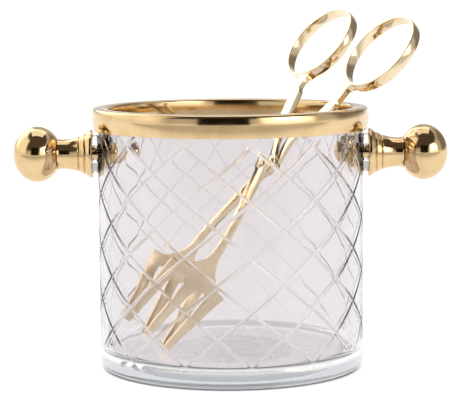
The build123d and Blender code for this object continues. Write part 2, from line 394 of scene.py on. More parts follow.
class Nodes:
    """A short way to lay out shader nodes in a material, a group or a world."""

    def __init__(self, tree: bpy.types.NodeTree) -> None:
        """Start on a tree.

        Args:
            tree: The node tree to add to.
        """
        self.tree = tree

    def feed(self, socket: Socket, value: object) -> None:
        """Link an output to an input, or give the input a fixed value."""
        if isinstance(value, Socket):
            self.tree.links.new(value, socket)
        else:
            socket.default_value = value

    def add(
        self, kind: str, inputs: dict[str | int, object] | None = None, **settings: object
    ) -> bpy.types.Node:
        """Add a node.

        Args:
            kind: The node's type.
            inputs: What goes into its inputs, by label or number.
            settings: Its settings by name.

        Returns:
            The node.
        """
        node = self.tree.nodes.new(kind)
        for setting, value in settings.items():
            setattr(node, setting, value)
        for label, value in (inputs or {}).items():
            self.feed(node.inputs[label], value)
        return node

    def math(self, operation: str, *values: object) -> Socket:
        """Add a Math node on sockets or numbers, and return its output."""
        node = self.add("ShaderNodeMath", dict(enumerate(values)), operation=operation)
        return node.outputs[0]

    def product(self, *values: object) -> Socket:
        """Multiply sockets and numbers from left to right, and return the output."""
        result = values[0]
        for value in values[1:]:
            result = self.math("MULTIPLY", result, value)
        return result

    def ramp(self, value: Socket, low: float, high: float) -> Socket:
        """Ease from 0 to 1 as a value goes from low to high."""
        inputs = {"Value": value, "From Min": low, "From Max": high}
        node = self.add("ShaderNodeMapRange", inputs, interpolation_type="SMOOTHSTEP")
        return node.outputs["Result"]

    def mix(self, share: Socket, first: object, second: object) -> Socket:
        """Mix two colours.

        Args:
            share: How much of the second.
            first: A colour or a socket.
            second: A colour or a socket.

        Returns:
            The mixed colour.
        """
        node = self.add("ShaderNodeMix", {"Factor": share}, data_type="RGBA")
        for socket, colour in zip(node.inputs[6:8], (first, second)):
            is_socket = isinstance(colour, Socket)
            self.feed(socket, colour if is_socket else (*colour, 1.0))
        return node.outputs[2]

    def object_place(self) -> Socket:
        """The place in the object's own frame, as a vector output."""
        return self.add("ShaderNodeTexCoord").outputs["Object"]

    def scaled(self, vector: Socket, x: object, y: object, z: object) -> Socket:
        """Scale a vector's three parts, and return the output."""
        factors = self.add("ShaderNodeCombineXYZ", {"X": x, "Y": y, "Z": z})
        inputs = {0: vector, 1: factors.outputs["Vector"]}
        return self.add("ShaderNodeVectorMath", inputs, operation="MULTIPLY").outputs["Vector"]

    def noise(
        self, vector: Socket, scale: object, detail: float, roughness: float = 0.5
    ) -> Socket:
        """Add a noise texture, and return its value."""
        inputs = {"Vector": vector, "Scale": scale, "Detail": detail, "Roughness": roughness}
        return self.add("ShaderNodeTexNoise", inputs, noise_dimensions="3D").outputs["Fac"]

    def bump(self, height: Socket, depth: float) -> Socket:
        """Add a Bump node of a depth in millimetres, and return its normal."""
        inputs = {"Strength": 1.0, "Distance": depth * MM, "Height": height}
        return self.add("ShaderNodeBump", inputs).outputs["Normal"]

    def painted(self, name: str) -> Socket:
        """The value of a named attribute of the mesh."""
        return self.add("ShaderNodeAttribute", attribute_name=name).outputs["Fac"]


def new_material(name: str) -> tuple[Material, Nodes, bpy.types.Node]:
    """Make a material with a Principled shader.

    Args:
        name: The material's name.

    Returns:
        The material, a way to add nodes to it, and its shader.
    """
    material = bpy.data.materials.new(name)
    material.use_nodes = True
    return material, Nodes(material.node_tree), material.node_tree.nodes["Principled BSDF"]


def new_group(name: str, inputs: dict[str, float], outputs: Sequence[str]) -> bpy.types.NodeTree:
    """Make an empty shader node group.

    Args:
        name: The group's name.
        inputs: The number inputs and their defaults; a Vector input is always there.
        outputs: The number outputs.

    Returns:
        The group.
    """
    group = bpy.data.node_groups.new(name, "ShaderNodeTree")
    group.interface.new_socket("Vector", in_out="INPUT", socket_type="NodeSocketVector")
    for label, value in inputs.items():
        socket = group.interface.new_socket(label, in_out="INPUT", socket_type="NodeSocketFloat")
        socket.default_value = value
    for label in outputs:
        group.interface.new_socket(label, in_out="OUTPUT", socket_type="NodeSocketFloat")
    return group


def handling_marks() -> bpy.types.NodeTree:
    """Faint smudges and fine wiping scratches, as on polished metal that has been handled.

    Returns:
        The group, with Smudge from 0 to 1 and a Height for a Bump node.
    """
    name = "handling_marks"
    if name in bpy.data.node_groups:
        return bpy.data.node_groups[name]
    sizes = {"Smudge Size": 90.0, "Scratch Size": 900.0, "Scratch Stretch": 0.06}
    group = new_group(name, sizes, ("Smudge", "Height"))
    nodes = Nodes(group)
    given = nodes.add("NodeGroupInput").outputs
    smudge = nodes.noise(given["Vector"], given["Smudge Size"], detail=3.0)
    drawn = nodes.scaled(given["Vector"], 1.0, given["Scratch Stretch"], 1.0)
    scratch = nodes.noise(drawn, given["Scratch Size"], detail=2.0)
    nodes.add("NodeGroupOutput", {"Smudge": nodes.ramp(smudge, 0.35, 0.72), "Height": scratch})
    return group


def turning_lines() -> bpy.types.NodeTree:
    """Fine rings left by turning and buffing about an axis.

    Returns:
        The group, with Lines from 0 to 1 along one coordinate.
    """
    name = "turning_lines"
    if name in bpy.data.node_groups:
        return bpy.data.node_groups[name]
    group = new_group(name, {"Line Size": 2500.0, "Across": 0.02}, ("Lines",))
    nodes = Nodes(group)
    given = nodes.add("NodeGroupInput").outputs
    drawn = nodes.scaled(given["Vector"], given["Across"], given["Across"], 1.0)
    lines = nodes.noise(drawn, given["Line Size"], detail=4.0, roughness=0.65)
    nodes.add("NodeGroupOutput", {"Lines": lines})
    return group


class Grain(Enum):
    """Which way a piece's turning and buffing lines run."""

    ABOUT_Z = (0.0, 0.0, 0.0)
    ABOUT_X = (0.0, math.pi / 2, 0.0)


@dataclass(frozen=True)
class BrassFinish:
    """Polished or satin brass with buffing lines, smudges and fine scratches."""

    name: str
    colour: Colour
    deep_colour: Colour
    roughness: float
    smudge_roughness: float
    line_depth: float
    grain: Grain = Grain.ABOUT_Z
    line_size: float = 2500.0
    satin: float = 0.0
    scratch_share: float = 0.35

    def make(self) -> Material:
        """Build the material.

        Returns:
            The material.
        """
        material, nodes, shader = new_material(self.name)
        turn = nodes.add(
            "ShaderNodeMapping", {"Vector": nodes.object_place(), "Rotation": self.grain.value}
        )
        place_of = {"Vector": turn.outputs["Vector"]}
        marks = nodes.add("ShaderNodeGroup", place_of, node_tree=handling_marks()).outputs
        lines = nodes.add("ShaderNodeGroup", place_of, node_tree=turning_lines())
        lines.inputs["Line Size"].default_value = self.line_size
        rough = nodes.math(
            "MULTIPLY_ADD", marks["Smudge"], self.smudge_roughness, self.roughness
        )
        if self.satin > 0:
            rough = nodes.math("MULTIPLY_ADD", nodes.painted("satin"), self.satin, rough)
        height = nodes.math(
            "MULTIPLY_ADD", marks["Height"], self.scratch_share, lines.outputs["Lines"]
        )
        for label, value in (
            ("Metallic", 1.0),
            ("Base Color", nodes.mix(marks["Smudge"], self.colour, self.deep_colour)),
            ("Roughness", rough),
            ("Normal", nodes.bump(height, self.line_depth)),
        ):
            nodes.feed(shader.inputs[label], value)
        return material


@dataclass(frozen=True)
class GlassFinish:
    """Clear glass with the faint waves of a pressed wall and a trace of handling, and where given,
    painted shade on the outer edge of the thick base.
    """

    name: str
    tint: Colour
    wave_depth: float
    wave_size: float
    ior: float = 1.5
    roughness: float = 0.0
    cut_roughness: float = 0.0
    # painted shade on the outer edge of the thick base: its colour, its top, its radius and its fades
    # in height and reach
    base_edge_painted_shade: Colour | None = None
    painted_shade_top: float = 8.0
    painted_shade_radius: float = 61.0
    painted_shade_fade: tuple[float, float] = (1.2, 3.0)
    cleaner: float = 1.015

    def make(self) -> Material:
        """Build the material.

        Returns:
            The material.
        """
        material, nodes, shader = new_material(self.name)
        place_of = nodes.object_place()
        marks = nodes.add("ShaderNodeGroup", {"Vector": place_of}, node_tree=handling_marks())
        wiped = tuple(min(1.0, part * self.cleaner) for part in self.tint)
        colour = nodes.mix(marks.outputs["Smudge"], wiped, self.tint)
        # painted shade: the lower outer edge of the thick base is darkened
        if self.base_edge_painted_shade is not None:
            colour = nodes.mix(self.painted_shade_mask(nodes, place_of), colour, self.base_edge_painted_shade)
        rough = nodes.math(
            "MULTIPLY_ADD", nodes.painted("cut"), self.cut_roughness, self.roughness
        )
        wave = nodes.noise(place_of, self.wave_size, detail=1.0)
        for label, value in (
            ("Transmission Weight", 1.0),
            ("IOR", self.ior),
            ("Base Color", colour),
            ("Roughness", rough),
            ("Normal", nodes.bump(wave, self.wave_depth)),
        ):
            nodes.feed(shader.inputs[label], value)
        return material

    def painted_shade_mask(self, nodes: Nodes, place_of: Socket) -> Socket:
        """Mark where the painted shade darkens the outer edge of the thick base.

        Args:
            nodes: Where to add the nodes.
            place_of: The place in the object's own frame.

        Returns:
            1 where the painted shade falls, at the lower outer edge of the thick base, and 0
            elsewhere.
        """
        x, y, z = nodes.add("ShaderNodeSeparateXYZ", {"Vector": place_of}).outputs
        squares = [nodes.math("POWER", part, 2.0) for part in (x, y)]
        reach = nodes.math("SQRT", nodes.math("ADD", *squares))
        (up, out), top, radius = self.painted_shade_fade, self.painted_shade_top, self.painted_shade_radius
        low = nodes.ramp(z, (top + up) * MM, (top - up) * MM)
        return nodes.product(low, nodes.ramp(reach, (radius - out) * MM, (radius + out) * MM))


POLISHED = BrassFinish(
    "polished_brass",
    colour=(0.79, 0.59, 0.33),
    deep_colour=(0.71, 0.51, 0.27),
    roughness=0.09,
    smudge_roughness=0.06,
    line_depth=0.0015,
)
POLISHED_HANDLE = BrassFinish(
    "polished_brass_handle",
    colour=(0.79, 0.58, 0.32),
    deep_colour=(0.72, 0.51, 0.27),
    roughness=0.07,
    smudge_roughness=0.05,
    line_depth=0.001,
    grain=Grain.ABOUT_X,
)
TONGS_BRASS = BrassFinish(
    "tongs_brass",
    colour=(0.90, 0.75, 0.53),
    deep_colour=(0.81, 0.64, 0.42),
    roughness=0.10,
    smudge_roughness=0.06,
    line_depth=0.001,
    line_size=1400.0,
    satin=0.22,
)
CUT_GLASS = GlassFinish(
    "cut_glass",
    # painted shade: this grey tint is darker than clear glass and stands in for the grey surroundings
    # seen through it
    tint=(0.832, 0.808, 0.818),
    wave_depth=0.02,
    wave_size=45.0,
    cut_roughness=0.34,
    # painted shade on the base's lower outer edge
    base_edge_painted_shade=(0.38, 0.40, 0.43),
)
CLEAR_PLASTIC = GlassFinish(
    "clear_plastic",
    tint=(0.93, 0.92, 0.90),
    wave_depth=0.004,
    wave_size=120.0,
    ior=1.45,
    roughness=0.05,
)


def finish(
    piece: Piece, material: Material, slot: Slot, body: str, *nodes: str
) -> None:
    """Dress a new piece, attach it to the body that it moves with, and hide the CAD nodes that it
    replaces.

    Args:
        piece: The piece.
        material: Its material.
        slot: The record's material slot that it follows; not used.
        body: The CAD body that it moves with.
        nodes: The CAD nodes that it replaces.
    """
    piece.data.materials.clear()
    piece.data.materials.append(material)
    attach(piece, body)
    if nodes:
        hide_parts(*nodes)
    log.info("%s: %d faces, rides on %s", piece.name, len(piece.data.polygons), body)


def dress_node(node: str, material: Material) -> None:
    """Give a CAD node that keeps its own shape a better material.

    Args:
        node: The CAD node.
        material: The material.
    """
    mesh = frame["nodes"][node].data
    if not mesh.materials:
        mesh.materials.append(material)
    for index in range(len(mesh.materials)):
        mesh.materials[index] = material
    log.info("%s: the CAD node, with %s", node, material.name)


# ---- The glass vessel ----


@dataclass
class CutGlassVessel:
    """The glass: a straight wall with a lattice of wheel-cut grooves, and a thick base."""

    floor_height: float = 8.5
    wall: float = 3.4
    base_corner: float = 4.0
    inner_corner: float = 5.0
    lip_round: float = 0.6
    diamonds_round: int = 13
    diamonds_high: int = 4
    diamond_height: float = 26.4
    lattice_turn: float = 8.3
    lattice_middle: float = 63.65
    groove_half: float = 0.9
    groove_depth: float = 0.27
    groove_curve: float = 0.25
    groove_overrun: float = 0.5
    groove_fade: float = 3.0
    cut_gain: float = 1.6
    lattice_margin: float = 4.4
    longest_edge: float = 4.2
    corner_steps: int = 20
    hole_clearance: float = 0.1
    hole_sides: int = 32
    crisp_angle: float = 5.0

    def __post_init__(self) -> None:
        """Read the radius and the height from the CAD node."""
        low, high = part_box("glass_vessel")
        self.radius = (high.x - low.x) / 2 / MM
        self.top = high.z / MM
        self.diamond_width = 2 * math.pi * self.radius / self.diamonds_round
        self.lattice_half = self.diamonds_high * self.diamond_height / 2
        self.sheet_half = self.lattice_half + self.lattice_margin

    def lattice_sheet(self) -> Piece:
        """Lay out the wall as a flat sheet whose edges run along the grooves.

        Returns:
            The sheet: X is the way round, Y the height, in metres.
        """
        cells = self.diamonds_round + self.diamonds_high + 1
        cells += cells % 2
        deselect_everything()
        bpy.ops.mesh.primitive_grid_add(
            x_subdivisions=cells, y_subdivisions=cells, size=cells * MM, rotation=(0, 0, math.pi / 4)
        )
        sheet = bpy.context.object
        sheet.name = "glass_vessel_cut"
        bpy.ops.object.transform_apply(rotation=True)
        diagonal = math.sqrt(2)
        sheet.scale = (self.diamond_width / diagonal, self.diamond_height / diagonal, 1)
        bpy.ops.object.transform_apply(scale=True)
        half_round = math.pi * self.radius * MM
        half_high = self.sheet_half * MM
        with Editing(sheet) as edit:
            edit.select(Element.EDGES, lambda edge: not edge.is_boundary)
            bpy.ops.mesh.bevel(
                offset=self.groove_half * MM, segments=4, affect="EDGES", clamp_overlap=False
            )
            sides = ((1, 0, 0), (-1, 0, 0), (0, 1, 0), (0, -1, 0))
            for normal, reach in zip(sides, (half_round, half_round, half_high, half_high)):
                bpy.ops.mesh.select_all(action="SELECT")
                bpy.ops.mesh.bisect(
                    plane_co=tuple(part * reach for part in normal),
                    plane_no=normal,
                    clear_outer=True,
                    threshold=0.0001 * MM,
                )
            while edit.select(Element.EDGES, lambda edge: edge.calc_length() > self.longest_edge * MM):
                bpy.ops.mesh.subdivide(number_cuts=1)
            bpy.ops.mesh.select_all(action="SELECT")
            bpy.ops.mesh.remove_doubles(threshold=0.002 * MM)
        return sheet

    def groove(self, across: float, up: float) -> float:
        """How deep the cut is at a point of the flat sheet.

        Args:
            across: The point's X from the lattice's middle, in millimetres.
            up: Its Y from the lattice's middle.

        Returns:
            The depth in millimetres.
        """
        width, height = self.diamond_width, self.diamond_height
        pitch = width * height / math.hypot(width, height)
        deepest = 0.0
        for line in (across / width + up / height, across / width - up / height):
            distance = abs(line - round(line)) * pitch
            share = max(0.0, 1 - distance / self.groove_half)
            deepest = max(deepest, share * (1 + self.groove_curve - self.groove_curve * share))
        left = self.lattice_half + self.groove_overrun - abs(up)
        fade = clamped(left / self.groove_fade)
        return self.groove_depth * deepest * fade * (2 - fade)

    def wrap(self, sheet: Piece) -> None:
        """Cut the grooves and roll the sheet into the outer wall.

        Args:
            sheet: The flat sheet.
        """
        cut = sheet.data.attributes.new("cut", "FLOAT", "POINT")
        for vertex in sheet.data.vertices:
            across, up = vertex.co.x / MM, vertex.co.y / MM
            depth = self.groove(across, up)
            cut.data[vertex.index].value = min(1.0, self.cut_gain * depth / self.groove_depth)
            radius = self.radius - depth
            angle = across / self.radius + math.radians(self.lattice_turn)
            vertex.co = (
                radius * math.sin(angle) * MM,
                -radius * math.cos(angle) * MM,
                (up + self.lattice_middle) * MM,
            )
        with Editing(sheet):
            bpy.ops.mesh.select_all(action="SELECT")
            bpy.ops.mesh.remove_doubles(threshold=0.01 * MM)

    def close(self, wall: Piece) -> None:
        """Add the base, the lip, the inner wall and the floor to the outer wall.

        Args:
            wall: The rolled outer wall, open at both ends.
        """
        inner = self.radius - self.wall
        lower = (self.radius, self.lattice_middle - self.sheet_half, 0)
        upper = (self.radius, self.lattice_middle + self.sheet_half, 0)
        base_corner = (self.radius, 0, self.base_corner)
        base = round_corners([lower, base_corner, (0, 0, 0)], False, steps=self.corner_steps)
        lip_and_inside = round_corners(
            [
                upper,
                (self.radius, self.top, self.lip_round),
                (inner, self.top, self.lip_round),
                (inner, self.floor_height, self.inner_corner),
                (0, self.floor_height, 0),
            ],
            False,
            steps=self.corner_steps,
        )
        with Editing(wall) as edit:
            for outline, low_side in ((base, True), (lip_and_inside, False)):
                middle = self.lattice_middle * MM
                edit.select(
                    Element.EDGES,
                    lambda edge: edge.is_boundary and (edge.verts[0].co.z < middle) == low_side,
                )
                for (radius, height), (next_radius, next_height) in zip(outline, outline[1:]):
                    rise = (next_height - height) * MM
                    if next_radius > 0:
                        edit.ring_to(next_radius / radius, rise, next_height * MM)
                    else:
                        edit.ring_to(0.5, rise, next_height * MM)
                        edit.ring_to_pole(0)
        face_outwards(wall)

    def drill(self, wall: Piece) -> None:
        """Drill the two holes for the handles' studs.

        Args:
            wall: The closed vessel.
        """
        low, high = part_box("right_handle_stud")
        cut_hole(
            wall,
            self.hole_sides,
            radius=(high.z - low.z) / 2 + self.hole_clearance * MM,
            depth=3 * self.radius * MM,
            height=(low.z + high.z) / 2,
            tilt=math.pi / 2,
        )

    def build(self, material: Material) -> None:
        """Make the vessel.

        Args:
            material: The glass.
        """
        vessel = self.lattice_sheet()
        self.wrap(vessel)
        self.close(vessel)
        self.drill(vessel)
        smooth(vessel, self.crisp_angle)
        finish(vessel, material, Slot.GLASS, BUCKET, "glass_vessel")


# ---- The brass rim ----


@dataclass
class RimCollar:
    """The spun brass channel over the lip, with a crowned outer face."""

    wall: float = 1.2
    crown: float = 0.7
    outer_round: float = 1.6
    inner_round: float = 1.3
    edge_round: float = 0.45
    hem_round: float = 0.3
    hem_inner_round: float = 0.1
    channel_round: float = 0.2
    segments: int = 288
    crown_steps: int = 6
    width: float = 8.0

    def build(self, material: Material, clear: Material) -> None:
        """Make the collar, and dress the seal under it.

        Args:
            material: The brass.
            clear: The seal's material.
        """
        low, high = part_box("rim_collar")
        outer, bottom, top = (high.x - low.x) / 2 / MM, low.z / MM, high.z / MM
        inner = outer - self.width
        corners = [
            (outer - self.wall, bottom, self.hem_inner_round),
            (outer - self.crown, bottom, self.hem_round),
        ]
        for step in range(1, self.crown_steps):
            share = step / self.crown_steps
            bulge = self.crown * (1 - (2 * share - 1) ** 2)
            corners.append((outer - self.crown + bulge, bottom + (top - bottom) * share, 0))
        corners += [
            (outer - self.crown, top, self.outer_round),
            (inner, top, self.inner_round),
            (inner, bottom, self.edge_round),
            (inner + self.wall, bottom, self.hem_round),
            (inner + self.wall, top - self.wall, self.channel_round),
            (outer - self.wall, top - self.wall, self.channel_round),
        ]
        collar = turned("rim_collar_spun", round_corners(corners, True), self.segments, True)
        smooth(collar)
        finish(collar, material, Slot.BRASS, BUCKET, "rim_collar")
        dress_node("rim_seal", clear)


# ---- The ball handles ----


class Side(Enum):
    """The two handles, by the way they point along X."""

    LEFT = -1
    RIGHT = 1


@dataclass
class BallHandle:
    """One handle: a turned neck with two grooves, a ball knob and the hardware through the glass."""

    side: Side
    flange_width: float = 1.4
    flange_round: float = 0.5
    waist_radius: float = 7.4
    end_radius: float = 7.8
    end_flare: float = 2.0
    groove_half: float = 0.55
    groove_depth: float = 0.5
    groove_places: tuple[float, float] = (3.8, 6.9)
    groove_shares: tuple[float, ...] = (-1, -0.6, -0.3, 0, 0.3, 0.6, 1)
    groove_clear: float = 1.2
    cove_steps: int = 28
    knob_steps: int = 30
    knob_half_length: float = 12.2
    bore: float = 3.1
    bore_depth: float = 10.0
    segments: int = 96

    def __post_init__(self) -> None:
        """Read the handle's places from the CAD nodes."""
        self.prefix = self.side.name.lower()
        low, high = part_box(f"{self.prefix}_handle_neck")
        reach = [abs(low.x) / MM, abs(high.x) / MM]
        self.start, self.end = min(reach), max(reach)
        self.shoulder = self.start + self.flange_width
        self.flange_radius = (high.z - low.z) / 2 / MM
        self.height = (low.z + high.z) / 2
        low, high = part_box(f"{self.prefix}_handle_knob")
        self.knob_radius = (high.z - low.z) / 2 / MM
        self.knob_end = max(abs(low.x), abs(high.x)) / MM
        self.placement = Matrix.Translation((0, 0, self.height)) @ Matrix.Rotation(
            self.side.value * math.pi / 2, 4, "Y"
        )

    def neck_radius(self, along: float) -> float:
        """The neck's outer radius, with its cove, its grooves and its flare.

        Args:
            along: The distance from the bucket's axis, in millimetres.

        Returns:
            The radius in millimetres.
        """
        waist = self.end - self.end_flare
        rise = self.flange_radius - self.waist_radius
        if along <= waist:
            radius = self.waist_radius + arc_rise(waist - along, waist - self.shoulder, rise)
        else:
            share = (along - waist) / self.end_flare
            radius = self.waist_radius + (self.end_radius - self.waist_radius) * share**2
        for groove in self.groove_places:
            off = abs(along - self.start - groove) / self.groove_half
            if off < 1:
                radius -= self.groove_depth * (1 + math.cos(math.pi * off)) / 2
        return radius

    def neck(self) -> Piece:
        """Turn the neck.

        Returns:
            The neck, in place.
        """
        flange = [
            (self.bore, self.start, 0),
            (self.flange_radius, self.start, self.flange_round),
            (self.flange_radius, self.shoulder, 0),
        ]
        outline = [(self.bore, self.end), *round_corners(flange, False)]
        step = (self.end - self.shoulder) / self.cove_steps
        places = {self.shoulder + step * number for number in range(1, self.cove_steps + 1)}
        for groove in self.groove_places:
            middle, clear = self.start + groove, self.groove_half * self.groove_clear
            places -= {spot for spot in places if abs(spot - middle) < clear}
            places |= {middle + self.groove_half * share for share in self.groove_shares}
        outline += [(self.neck_radius(spot), spot) for spot in sorted(places)]
        return turned(f"{self.prefix}_handle_neck_turned", outline, self.segments, True)

    def knob(self) -> Piece:
        """Turn the knob: an oblate ball with a flat seat against the neck and a blind bore.

        Returns:
            The knob, in place.
        """
        centre = self.knob_end - self.knob_half_length
        seat = math.acos((centre - self.end) / self.knob_half_length)
        bore_end = self.end + self.bore_depth
        outline = [(0, bore_end), (self.bore, bore_end), (self.bore, self.end)]
        for step in range(self.knob_steps + 1):
            angle = seat + (math.pi - seat) * step / self.knob_steps
            radius = self.knob_radius * math.sin(angle)
            along = centre - self.knob_half_length * math.cos(angle)
            outline.append((max(0.0, radius) if step < self.knob_steps else 0.0, along))
        return turned(f"{self.prefix}_handle_ball", outline, self.segments, False)

    def build(
        self, brass: Material, clear: Material, plain: Material
    ) -> None:
        """Make the handle's pieces.

        Args:
            brass: The finish of the turned pieces.
            clear: The saddle washers' material.
            plain: The hardware's finish.
        """
        for piece, node in ((self.neck(), "handle_neck"), (self.knob(), "handle_knob")):
            place(piece, self.placement)
            smooth(piece)
            finish(piece, brass, Slot.BRASS, BUCKET, f"{self.prefix}_{node}")
        for name, made, edge, material, slot in (
            ("inner_washer", "eased", 0.2, plain, Slot.BRASS),
            ("cap_nut", "eased", 0.3, plain, Slot.BRASS),
            ("outer_saddle_washer", "moulded", 0.3, clear, Slot.CLEAR),
            ("inner_saddle_washer", "moulded", 0.3, clear, Slot.CLEAR),
        ):
            node = f"{self.prefix}_{name}"
            finish(copy_of_node(node, f"{node}_{made}", edge), material, slot, BUCKET, node)
        dress_node(f"{self.prefix}_handle_stud", plain)


# ---- The tongs ----


@dataclass
class ScissorTongs:
    """Two crossed levers with finger rings and three-tined forks, on one rivet.

    In the tongs' own frame X runs from the rivet towards the rings, Z along the rivet, and the
    fixed lever's ring is on the +Y side and its fork on the -Y side.
    """

    bar_half: float = 3.3
    bar_thickness: float = 3.0
    bar_gap: float = 0.5
    bar_share: float = 0.78
    neck_half: float = 1.9
    boss_radius: float = 5.2
    ring_outer: float = 22.6
    ring_thickness: float = 1.5
    ring_width: float = 5.6
    ring_crown: float = 0.25
    elbow: tuple[float, float, float] = (24.0, 7.0, 2.3)
    wrist: Point = (46.0, 11.2)
    wrist_half: float = 1.0
    fork_thickness: float = 2.0
    fork_neck_half: float = 1.9
    palm: Point = (69.5, 10.3)
    palm_half: float = 18.8
    flare_run: float = 18.0
    slot_root: float = 73.0
    slot_root_depth: float = 4.0
    jaw_length: float = 106.5
    tip_half_span: float = 15.4
    tine_root: float = 6.4
    tine_tip: float = 3.4
    tip_gap: float = 0.5
    rivet_radius: float = 2.5
    rivet_clearance: float = 0.05
    rivet_hole_sides: int = 48
    ring_segments: int = 128
    ring_edge_round: float = 0.55
    ring_inner_round: float = 0.4
    ring_crown_round: float = 6.0
    root_start: float = 5.5
    root_run: float = 6.3
    root_flare: float = 3.1
    root_flare_power: float = 2.2
    root_widening: float = 0.9
    bar_centring: float = 9.0
    fork_centring: float = 6.0
    slot_shoulder: float = 0.55
    slot_bend: float = 0.12
    slot_margin: float = 0.2
    arm_margin: float = 3.0
    tip_round_share: float = 0.42
    satin_fade: float = 14.0
    slope_reach: float = 0.8
    edge_round: float = 0.32
    edge_angle: float = 38.0

    def __post_init__(self) -> None:
        """Work out the tongs' frame from the pivot joint and the two finger rings."""
        joint = next(joint for joint in frame["joints"] if joint["name"] == "tongs_pivot")
        self.pivot = Vector(joint["pos_m"])
        through = -Vector(joint["axis"]).normalized()
        centres = [sum(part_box(node), Vector()) / 2 for node in ("finger_ring_a", "finger_ring_b")]
        to_rings = (centres[0] + centres[1]) / 2 - self.pivot
        side = through.cross(to_rings.normalized()).normalized()
        along = side.cross(through)
        self.ring_reach = to_rings.length / MM
        self.ring_offset = (centres[1] - centres[0]).length / 2 / MM
        turn = Matrix((along, side, through)).transposed().to_4x4()
        self.placement = Matrix.Translation(self.pivot) @ turn
        self.turned_over = self.placement @ Matrix.Diagonal((1, -1, -1, 1))
        self.arm_angle = math.atan2(self.ring_offset, self.ring_reach)
        self.ring_distance = math.hypot(self.ring_offset, self.ring_reach)
        self.ring_end = self.ring_distance - self.ring_outer
        self.bar_end = self.ring_end * self.bar_share

    def bow(self, along: float) -> float:
        """The sideways place of a lever's centreline.

        Args:
            along: The distance from the rivet, in millimetres, positive towards the rings.

        Returns:
            The centreline's Y in millimetres.
        """
        if along >= 0:
            return along * math.tan(self.arm_angle)
        reach = -along
        elbow_reach, elbow_drop, _ = self.elbow
        wrist_reach, wrist_drop = self.wrist
        if reach <= elbow_reach:
            return -elbow_drop * reach / elbow_reach
        slope = (wrist_drop - elbow_drop) / (wrist_reach - elbow_reach)
        if reach <= wrist_reach:
            return -(elbow_drop + slope * (reach - elbow_reach))
        palm_reach, palm_drop = self.palm
        if reach <= palm_reach:
            return -self.arc(reach, self.wrist, slope, self.palm)
        run, rise = palm_reach - wrist_reach, palm_drop - wrist_drop
        palm_slope = math.tan(2 * math.atan2(rise, run) - math.atan(slope))
        tip = (self.jaw_length, (self.tip_gap + self.fork_thickness) / 2)
        return -self.arc(min(reach, self.jaw_length), self.palm, palm_slope, tip)

    def root(self, distance: float) -> float:
        """How far a place is into the flare that meets the finger ring, from 0 at its start."""
        return max(0.0, distance - (self.ring_end - self.root_start)) / self.root_run

    @staticmethod
    def arc(reach: float, start: Point, slope: float, end: Point) -> float:
        """The height at a reach along an arc that leaves a start with a slope and meets an end.

        Args:
            reach: Where to measure.
            start: The arc's start.
            slope: Its slope there.
            end: Its end.

        Returns:
            The height.
        """
        run, rise = end[0] - start[0], end[1] - start[1]
        bend = 2 * (rise - slope * run) / (run * run + rise * rise)
        rate = slope / math.sqrt(1 + slope * slope)
        step = reach - start[0]
        curve = bend / math.sqrt(1 + slope * slope)
        sag = curve * step * step / 2 / (1 - rate * curve * step) ** 2
        return start[1] + slope * step + sag * (1 + slope**2)

    def thickness_half(self, along: float) -> float:
        """Half the lever's size across its centreline, in the plane that it swings in.

        Args:
            along: The distance from the rivet along X, in millimetres.

        Returns:
            The half size in millimetres.
        """
        if along >= 0:
            distance = along / math.cos(self.arm_angle)
            half = self.bar_half
            if distance > self.bar_end:
                over = min(1.0, (distance - self.bar_end) / self.bar_half)
                half = max(self.neck_half, self.bar_half * math.sqrt(1 - over * over))
                half += self.root_flare * self.root(distance) ** self.root_flare_power
        else:
            reach = -along
            elbow_reach, _, elbow_half = self.elbow
            wrist_reach, _ = self.wrist
            if reach <= elbow_reach:
                half = self.bar_half + (elbow_half - self.bar_half) * reach / elbow_reach
            elif reach <= wrist_reach:
                share = (reach - elbow_reach) / (wrist_reach - elbow_reach)
                half = elbow_half + (self.wrist_half - elbow_half) * eased(share)
            else:
                half = self.fork_thickness / 2
        if abs(along) < self.boss_radius:
            half = max(half, math.sqrt(self.boss_radius**2 - along**2))
        return half

    def width_half(self, along: float) -> float:
        """Half the lever's size along the rivet.

        Args:
            along: The distance from the rivet along X, in millimetres.

        Returns:
            The half size in millimetres.
        """
        reach = -along
        bar = self.bar_thickness / 2
        if along > 0:
            flare = min(1.0, self.root(along / math.cos(self.arm_angle)))
            return bar + self.root_widening * flare**1.5
        wrist_reach, _ = self.wrist
        palm_reach, _ = self.palm
        if reach <= wrist_reach:
            elbow_reach = self.elbow[0]
            share = clamped((reach - elbow_reach) / (wrist_reach - elbow_reach))
            return bar + (self.fork_neck_half - bar) * share * share
        if reach <= palm_reach:
            into = max(0.0, reach - palm_reach + self.flare_run)
            rise = self.palm_half - self.fork_neck_half
            return self.fork_neck_half + arc_rise(into, self.flare_run, rise)
        share = (reach - palm_reach) / (self.jaw_length - palm_reach)
        return self.palm_half + (self.tip_half_span - self.palm_half) * share

    def width_middle(self, along: float) -> float:
        """The middle of the lever's width along the rivet: the bar is to one side, the fork is not.

        Args:
            along: The distance from the rivet along X, in millimetres.

        Returns:
            The place along the rivet, in millimetres.
        """
        side = (self.bar_gap + self.bar_thickness) / 2
        if along > 0:
            distance = along / math.cos(self.arm_angle)
            share = (distance - (self.ring_end - self.bar_centring)) / self.bar_centring
        else:
            start = self.boss_radius + self.fork_centring
            share = (-along - start) / (self.wrist[0] - start)
        return side * (1 - eased(clamped(share)))

    def columns(self, along: float) -> list[float]:
        """The places across the fork where its tines and slots begin and end.

        Args:
            along: The distance from the rivet along X, in millimetres.

        Returns:
            Places across, from one edge to the other, as offsets from the middle.
        """
        half = self.width_half(along)
        share = max(0.0, (-along - self.slot_root) / (self.jaw_length - self.slot_root))
        tine = self.tine_root + (self.tine_tip - self.tine_root) * share
        scale = half / self.palm_half if -along < self.palm[0] else 1.0
        outer, inner = half - tine * scale, tine * scale / 2
        places = [half, outer] + [outer + (inner - outer) * step / 4 for step in (1, 2, 3)] + [inner]
        return [-spot for spot in places] + places[::-1]

